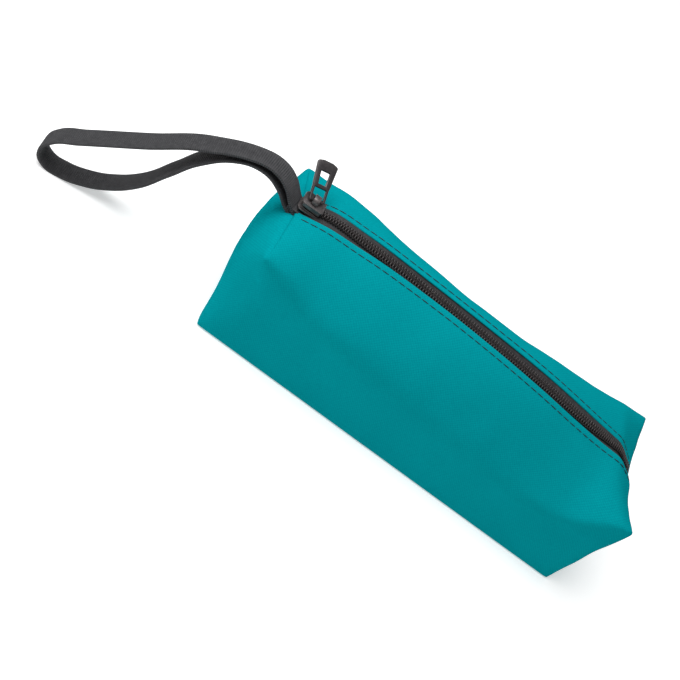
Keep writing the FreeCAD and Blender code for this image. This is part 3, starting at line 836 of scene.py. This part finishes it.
def make_pull():
    """The flat pull: a wire-like loop round the bridge, a crossbar, a window and a wide bowed tip."""
    last = len(PULL_ROWS) - 1
    pull = add_sheet("pull", (-1, 0), (1, 1), (3, last))

    def outline(flat):
        along_pull, inner, outer = PULL_ROWS[round(flat.y * last)]
        across = outer if abs(flat.x) > 0.9 else inner
        return Vector((math.copysign(across, flat.x), along_pull, 0)) * MM
    shape(pull, outline)

    def in_hole(face):
        x, y, _ = face.center
        return abs(x) < HOLE_SIDE and any(low < y < high for low, high in PULL_HOLES)
    edit(pull, "FACE", in_hole)
    bpy.ops.mesh.delete(type="FACE")
    round_off(pull, "VERT", ROOT_ROUND, 4, lambda spot: spot.y < 0 and abs(spot.x) > ROOT_SIDE)
    round_off(pull, "VERT", TIP_ROUND, 3, lambda spot: spot.y > TIP_ROW and abs(spot.x) > TIP_SIDE)

    def bow(spot):
        rise = TIP_BOW * (1 - (spot.x / TIP_HALF) ** 2) * (spot.y > TIP_START)
        return Vector((spot.x, spot.y + rise, 0))
    shape(pull, bow)
    finish_with(pull, "SOLIDIFY", thickness=PULL_THICKNESS, offset=0)
    face_outwards(pull)
    bevel_all(pull, PULL_EDGE, 3)
    round_shading(pull, 40)
    turn = Matrix.Rotation(PULL_LEAN, 4, "Z") @ Matrix.Rotation(PULL_LIFT, 4, "X")
    pull.data.transform(Matrix.Translation(PULL_PIVOT) @ turn)
    return pull


# Inside

SEAM_COVER, PLY_THICKNESS, PLY_WAVE, PLY_RIPPLE = 3 * MM, 0.65 * MM, 0.25 * MM, 31
# Each turned-in seam, and the axis across its plies
SEAMS = {"top_left_box_seam": 0, "left_end_seam": 1, "base_left_box_seam": 2,
         "top_right_box_seam": 0, "right_end_seam": 1, "base_right_box_seam": 2}


def seam_axes(low, high, thin_axis):
    """The axis along a seam and the axis into it."""
    axes = [axis for axis in range(3) if axis != thin_axis]
    return sorted(axes, key=lambda axis: low[axis] - high[axis])


def tuck(spot, high):
    """A place in a seam that reaches up to high, moved in and down to where the soft cloth covers it."""
    roof = top_point(spot.x, spot.y).z - SEAM_COVER
    spot.z += min(0, roof - max(high.z, spot.z))
    return pinch(spot)


def make_ply(name, node, thin_axis):
    """Two turned-in plies of cloth inside a seam, with wavy cut edges."""
    low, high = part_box(node)
    length_axis, depth_axis = seam_axes(low, high, thin_axis)
    size = high - low
    plies = []
    for index, share in enumerate((0.25, 0.75)):
        ply = add_sheet(f"{name}_{index}", (0, 0), (1, 1), (28, 4))

        def lay(flat):
            spot = [0, 0, 0]
            wave = PLY_WAVE * math.sin(flat.x * PLY_RIPPLE + index * 2) * flat.y
            spot[length_axis] = low[length_axis] + flat.x * size[length_axis]
            spot[depth_axis] = low[depth_axis] + flat.y * size[depth_axis]
            spot[thin_axis] = low[thin_axis] + share * size[thin_axis] + wave
            return tuck(Vector(spot), high)
        shape(ply, lay)
        finish_with(ply, "SOLIDIFY", thickness=PLY_THICKNESS, offset=0)
        face_outwards(ply)
        plies.append(ply)
    seam = join(name, plies)
    scale_uv(seam, size[length_axis], size[depth_axis])
    return round_shading(seam, 40)


TAIL_RIB = 0.1 * MM


def make_tails():
    """The strap's two ends inside the seam."""
    low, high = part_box("strap_tails")
    tails = []
    for index, level in enumerate((low.z + STRAP_THICKNESS / 2, high.z - STRAP_THICKNESS / 2)):
        tail = add_sheet(f"tail_{index}", (low.x, low.y), (high.x, high.y), (24, 8))
        scale_uv(tail, high.x - low.x, high.y - low.y)

        def rib(flat):
            return Vector((flat.x, flat.y, level + TAIL_RIB * math.cos(2 * math.pi * flat.x / RIB_PITCH)))
        shape(tail, rib)
        finish_with(tail, "SOLIDIFY", thickness=STRAP_THICKNESS, offset=0)
        face_outwards(tail)
        tails.append(tail)
    return round_shading(join("strap_tail_webbing", tails), 50)


SEAM_STITCH, TACK_STITCH = 3.1 * MM, 2.2 * MM
TACK_COUNT, TACK_LEAN = 12, 0.3
ROOT_CLEAR = 10 * MM


def stitch_at(name, middle, direction, length):
    """One stitch that lies along a direction."""
    piece = add_stitch(name, 6, 5, length)
    piece.data.transform(Vector(direction).to_track_quat("Z", "Y").to_matrix().to_4x4())
    piece.data.transform(Matrix.Translation(middle))
    return piece


def make_bartack():
    """Short stitches through both tails of the strap."""
    low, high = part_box("strap_bartack")
    stitches = []
    for level in (low.z + STITCH_THICKNESS / 2, high.z - STITCH_THICKNESS / 2):
        for index in range(TACK_COUNT):
            middle = ((low.x + high.x) / 2, low.y + (high.y - low.y) * (index + 0.5) / TACK_COUNT, level)
            lean = TACK_LEAN if index % 2 else -TACK_LEAN
            stitches.append(stitch_at("tack", middle, (1, lean, 0), TACK_STITCH))
    return round_shading(join("tack_stitches", stitches))


def make_seam_thread():
    """The lockstitch along the middle of each turned-in seam."""
    stitches = []
    for node, thin_axis in SEAMS.items():
        low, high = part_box(node)
        middle = (low + high) / 2
        run, _ = seam_axes(low, high, thin_axis)
        face = low if (middle[thin_axis] > 0 and thin_axis == 0) else high
        for index in range(int((high[run] - low[run]) / STITCH_PITCH)):
            spot = middle.copy()
            spot[run] = low[run] + (index + 0.5) * STITCH_PITCH
            spot[thin_axis] = face[thin_axis]
            if thin_axis == 0 and abs(spot[run]) < ROOT_CLEAR:
                continue
            direction = [0, 0, 0]
            direction[run] = 1
            stitches.append(stitch_at("seam_stitch", tuck(spot, high), direction, SEAM_STITCH))
    return round_shading(join("seam_stitches", stitches))


# Finishes

def linear(red, green, blue):
    """A colour given in the 0 to 255 of a screen, as light."""
    def light(part):
        part /= 255
        return part / 12.92 if part <= 0.04045 else ((part + 0.055) / 1.055) ** 2.4
    return light(red), light(green), light(blue), 1


class Nodes:
    """A node tree with short ways to add and link its nodes."""

    def __init__(self, tree):
        self.tree = tree

    def add(self, kind, inputs=None, **settings):
        node = self.tree.nodes.new(kind)
        for name, value in settings.items():
            setattr(node, name, value)
        for socket, value in (inputs or {}).items():
            self.feed(node.inputs[socket], value)
        return node

    def feed(self, socket, value):
        if isinstance(value, bpy.types.NodeSocket):
            self.tree.links.new(value, socket)
        else:
            socket.default_value = value

    def math(self, operation, first, second=0.0):
        return self.add("ShaderNodeMath", {0: first, 1: second}, operation=operation).outputs[0]

    def noise(self, place, scale, detail):
        grain = self.add("ShaderNodeTexNoise", {"Vector": place, "Scale": scale, "Detail": detail})
        return grain.outputs["Fac"]

    def bump(self, shader, height, strength, distance):
        bump = self.add("ShaderNodeBump", {"Height": height, "Strength": strength, "Distance": distance})
        self.feed(shader.inputs["Normal"], bump.outputs[0])

    def mix(self, share, first, second):
        node = self.add("ShaderNodeMix", {"Factor": share, "A": first, "B": second}, data_type="RGBA")
        return node.outputs["Result"]


def new_group(name, inputs, outputs):
    """A node group whose sockets are numbers, apart from one called Vector."""
    tree = bpy.data.node_groups.new(name, "ShaderNodeTree")
    for way, sockets in (("INPUT", inputs), ("OUTPUT", outputs)):
        for socket in sockets:
            kind = "NodeSocketVector" if socket == "Vector" else "NodeSocketFloat"
            tree.interface.new_socket(socket, in_out=way, socket_type=kind)
    nodes = Nodes(tree)
    return tree, nodes, nodes.add("NodeGroupInput").outputs, nodes.add("NodeGroupOutput").inputs


def make_weave_group():
    """Yarns that cross over and under each other, with a step from row to row."""
    tree, nodes, given, out = new_group(
        "crossed_yarns", ("Vector", "Yarn", "Repeat", "Plies"), ("Height", "Over"))
    parts = nodes.add("ShaderNodeSeparateXYZ", {0: given["Vector"]})
    warp = nodes.math("DIVIDE", parts.outputs[0], given["Yarn"])
    weft = nodes.math("DIVIDE", parts.outputs[1], given["Yarn"])
    step = nodes.math("SUBTRACT", nodes.math("FLOOR", warp), nodes.math("FLOOR", weft))
    share = nodes.math("FRACT", nodes.math("DIVIDE", nodes.math("ADD", step, 0.5), given["Repeat"]))
    over = nodes.math("LESS_THAN", share, 0.5)
    turn = nodes.math("MULTIPLY", given["Plies"], math.pi)
    rounds = []
    for run in (warp, weft):
        wave = nodes.math("SINE", nodes.math("MULTIPLY", nodes.math("FRACT", run), turn))
        rounds.append(nodes.math("ABSOLUTE", wave))
    gap = nodes.math("SUBTRACT", rounds[0], rounds[1])
    height = nodes.math("ADD", rounds[1], nodes.math("MULTIPLY", gap, over))
    nodes.feed(out["Height"], height)
    nodes.feed(out["Over"], over)
    return tree


def make_wear_group():
    """Where edges have rubbed and dust has settled."""
    tree, nodes, given, out = new_group("rubbed_edges", ("Amount", "Scale"), ("Wear", "Mottle"))
    place = nodes.add("ShaderNodeTexCoord").outputs["Object"]
    grain = nodes.noise(place, given["Scale"], 5.0)
    edge = nodes.add("ShaderNodeNewGeometry").outputs["Pointiness"]
    sharp = nodes.add("ShaderNodeMapRange", {"Value": edge, "From Min": 0.52, "From Max": 0.64}).outputs[0]
    rough = nodes.math("MULTIPLY", sharp, grain)
    wear = nodes.math("MULTIPLY", rough, given["Amount"])
    nodes.feed(out["Wear"], nodes.math("MINIMUM", wear, 1.0))
    nodes.feed(out["Mottle"], grain)
    return tree


def new_material(name, **finish):
    """A material with its Principled shader, and constants set on the shader's own sockets."""
    material = bpy.data.materials.new(name)
    material.use_nodes = True
    shader = material.node_tree.nodes["Principled BSDF"]
    for socket, value in finish.items():
        shader.inputs[socket.replace("_", " ")].default_value = value
    return material, Nodes(material.node_tree), shader


def add_yarns(nodes, weave, size, plies):
    """The height and the upper yarns of a weave on the UV map, and the piece's own coordinates."""
    places = nodes.add("ShaderNodeTexCoord").outputs
    given = {"Vector": places["UV"], "Yarn": size, "Repeat": 2.0, "Plies": plies}
    yarns = nodes.add("ShaderNodeGroup", given, node_tree=weave).outputs
    return yarns["Height"], yarns["Over"], places["Object"]


# How much painted highlight lightens the upper yarns, and how high the slubs stand against the yarns
OVER_HIGHLIGHT, SLUB_HEIGHT = 0.34, 0.8


def make_cloth_finish(weave):
    """Teal Oxford cloth: pairs of yarns over and under each other, with slubs, uneven dye, and a painted
    highlight on the upper and raised yarns over painted shade between them.
    """
    material, nodes, shader = new_material("teal_oxford", Roughness=0.85, Specular_IOR_Level=0.0)
    yarn, over, place = add_yarns(nodes, weave, 0.9 * MM, 2.0)
    dye = nodes.noise(place, 26.0, 3.0)
    slub = nodes.noise(place, 900.0, 2.0)
    # The teal in a shaded and a lit copy: painted shade on the lower yarns and between yarns, painted
    # highlight on the upper yarns and on the yarns' raised tops
    shade = nodes.mix(dye, linear(2, 125, 136), linear(3, 139, 149))
    light = nodes.mix(dye, linear(3, 152, 161), linear(5, 164, 172))
    # Painted highlight on the raised tops of the yarns, strongest where slubs stand out
    raised_highlight = nodes.math("MULTIPLY", yarn, slub)
    yarn_highlight = nodes.math("ADD", nodes.math("MULTIPLY", over, OVER_HIGHLIGHT), raised_highlight)
    nodes.feed(shader.inputs["Base Color"], nodes.mix(yarn_highlight, shade, light))
    height = nodes.math("ADD", yarn, nodes.math("MULTIPLY", slub, SLUB_HEIGHT))
    nodes.bump(shader, height, 0.55, 0.12 * MM)
    return material


def make_woven_finish(name, weave, dark, light, yarn_size, depth, **finish):
    """Dark woven webbing or tape, with a painted highlight on its raised yarns."""
    material, nodes, shader = new_material(name, **finish)
    yarn, _, place = add_yarns(nodes, weave, yarn_size, 1.0)
    # The raised yarns get the light colour as a painted highlight, the rest stays dark
    lit = nodes.math("MULTIPLY", yarn, nodes.noise(place, 420.0, 4.0))
    nodes.feed(shader.inputs["Base Color"], nodes.mix(lit, dark, light))
    nodes.bump(shader, yarn, 0.7, depth)
    return material


def make_nylon_finish(name, dark, light, **finish):
    """Smooth filament or thread with a little unevenness along it."""
    material, nodes, shader = new_material(name, **finish)
    place = nodes.add("ShaderNodeTexCoord").outputs["Object"]
    grain = nodes.noise(place, 700.0, 3.0)
    nodes.feed(shader.inputs["Base Color"], nodes.mix(grain, dark, light))
    nodes.bump(shader, grain, 0.25, 0.08 * MM)
    return material


def make_metal_finish(wear_tree):
    """Dark painted cast metal, rubbed to bare metal along its edges."""
    material, nodes, shader = new_material("painted_metal", Metallic=0.55, Specular_IOR_Level=0.5)
    worn = nodes.add("ShaderNodeGroup", {"Amount": 1.6, "Scale": 900.0}, node_tree=wear_tree).outputs
    paint = nodes.mix(worn["Mottle"], linear(40, 38, 40), linear(66, 61, 63))
    nodes.feed(shader.inputs["Base Color"], nodes.mix(worn["Wear"], paint, linear(150, 142, 140)))
    rough = nodes.add("ShaderNodeMapRange", {"Value": worn["Mottle"], "To Min": 0.34, "To Max": 0.52})
    nodes.feed(shader.inputs["Roughness"], rough.outputs[0])
    nodes.bump(shader, worn["Mottle"], 0.15, 0.05 * MM)
    return material


def dress(piece, material):
    piece.data.materials.clear()
    piece.data.materials.append(material)


# Camera, floor and light

def make_camera():
    flat = math.cos(VIEW_ELEVATION)
    back = Vector((math.sin(VIEW_AZIMUTH) * flat, -math.cos(VIEW_AZIMUTH) * flat, math.sin(VIEW_ELEVATION)))
    level = Vector((math.cos(VIEW_AZIMUTH), math.sin(VIEW_AZIMUTH), 0))
    above = back.cross(level)
    right = level * math.cos(VIEW_ROLL) + above * math.sin(VIEW_ROLL)
    up = above * math.cos(VIEW_ROLL) - level * math.sin(VIEW_ROLL)
    camera = add_object("camera", bpy.data.cameras.new("camera"))
    place = Matrix((right, up, back)).transposed().to_4x4()
    place.translation = back * VIEW_DISTANCE + right * VIEW_RIGHT + up * VIEW_UP + Vector((0, 0, AIM_HEIGHT))
    camera.matrix_world = place
    camera.data.lens = 50
    camera.data.sensor_width = 36
    camera.data.clip_start, camera.data.clip_end = 0.01, 20
    bpy.context.scene.camera = camera


def make_floor():
    deselect_all()
    bpy.ops.mesh.primitive_plane_add(size=6, location=(0, 0, -0.2 * MM))
    floor = bpy.context.object
    floor.name = "floor"
    material, _, _ = new_material(
        "pale_floor", Base_Color=(0.92, 0.92, 0.92, 1), Roughness=0.9, Specular_IOR_Level=0.1,
        Emission_Color=(1, 1, 1, 1), Emission_Strength=0.42)
    dress(floor, material)


def make_light(name, place, size, watts, aim=(0, 0, 0.03)):
    light = bpy.data.lights.new(name, "AREA")
    light.shape = "DISK"
    light.size = size
    light.energy = watts
    lamp = add_object(name, light)
    lamp.location = place
    lamp.rotation_euler = (Vector(aim) - Vector(place)).to_track_quat("-Z", "Y").to_euler()


def make_studio():
    make_floor()
    make_light("top_softbox", (-0.3, 0, 0.65), 0.7, 5.3)
    make_light("far_floor_fill", (0.3, 0.72, 0.45), 0.5, 0.8, aim=(0.25, 0.6, 0))
    world = bpy.context.scene.world = bpy.data.worlds.new("studio")
    world.use_nodes = True
    sky = world.node_tree.nodes["Background"]
    sky.inputs["Color"].default_value = (1, 1, 1, 1)
    sky.inputs["Strength"].default_value = 0.25
    bpy.context.scene.view_settings.view_transform = "Standard"


# Put together

make_camera()
cloth_pieces = make_cloth()
zip_pieces = make_zip()
strap = make_strap()
slider = make_slider()
pull = make_pull()
seam_pieces = {name: make_ply(f"{name}_plies", name, axis) for name, axis in SEAMS.items()}
tails = make_tails()
bartack = make_bartack()
seam_thread = make_seam_thread()

weave_group = make_weave_group()
wear_group = make_wear_group()
cloth_finish = make_cloth_finish(weave_group)
# Each tape and webbing colour runs from its own dark to a painted highlight on its raised yarns
tape_finish = make_woven_finish(
    "black_tape", weave_group, linear(34, 34, 36), linear(94, 93, 95), 0.45 * MM, 0.1 * MM,
    Roughness=0.8, Specular_IOR_Level=0.3)
webbing_finish = make_woven_finish(
    "grey_webbing", weave_group, linear(38, 38, 41), linear(88, 88, 90), 0.55 * MM, 0.12 * MM,
    Roughness=0.7, Specular_IOR_Level=0.35)
coil_finish = make_nylon_finish(
    "nylon_coil", linear(30, 26, 27), linear(58, 52, 52), Roughness=0.38, Specular_IOR_Level=0.5)
thread_finish = make_nylon_finish(
    "black_thread", linear(8, 14, 22), linear(24, 34, 46), Roughness=0.6, Specular_IOR_Level=0.3)
metal_finish = make_metal_finish(wear_group)


def settle(piece, material, slot, body, *nodes):
    """Finish a piece that moves with one body."""
    dress(piece, material)
    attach(piece, body)
    if nodes:
        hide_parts(*nodes)


def settle_lip(piece, material, node):
    """Finish a piece that parts with one of the mouth's lips."""
    dress(piece, material)
    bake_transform(piece)
    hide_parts(node)


settle(cloth_pieces["bag_cloth"], cloth_finish, "cloth", "bag", "body_cloth")
zip_finishes = {"tape": (tape_finish, "zip_tape"), "coil": (coil_finish, "zip_coil"),
                "topstitch": (thread_finish, "thread")}
for side in SIDES:
    for end in HALVES:
        settle_lip(cloth_pieces[f"{side}_lip_{end}"], cloth_finish, f"{side}_lip_cloth")
        for what, (finish, slot) in zip_finishes.items():
            settle_lip(zip_pieces[f"{side}_{what}_{end}"], finish, f"{side}_{what}")
settle(zip_pieces["end_tape"], tape_finish, "zip_tape", "bag")
settle(zip_pieces["end_coil"], coil_finish, "zip_coil", "bag")
settle(zip_pieces["end_topstitch"], thread_finish, "thread", "bag", "end_topstitch")
for name, piece in seam_pieces.items():
    settle(piece, cloth_finish, "cloth", "bag", name)
settle(tails, webbing_finish, "webbing", "bag", "strap_tails")
settle(bartack, thread_finish, "thread", "bag", "strap_bartack")
settle(seam_thread, thread_finish, "thread", "bag", "seam_thread")
settle(slider, metal_finish, "slider_metal", "slider", "slider_body")
settle(pull, metal_finish, "slider_metal", "pull", "pull_tab")
dress(strap, webbing_finish)
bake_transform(strap)
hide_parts("strap_loop")
make_studio()
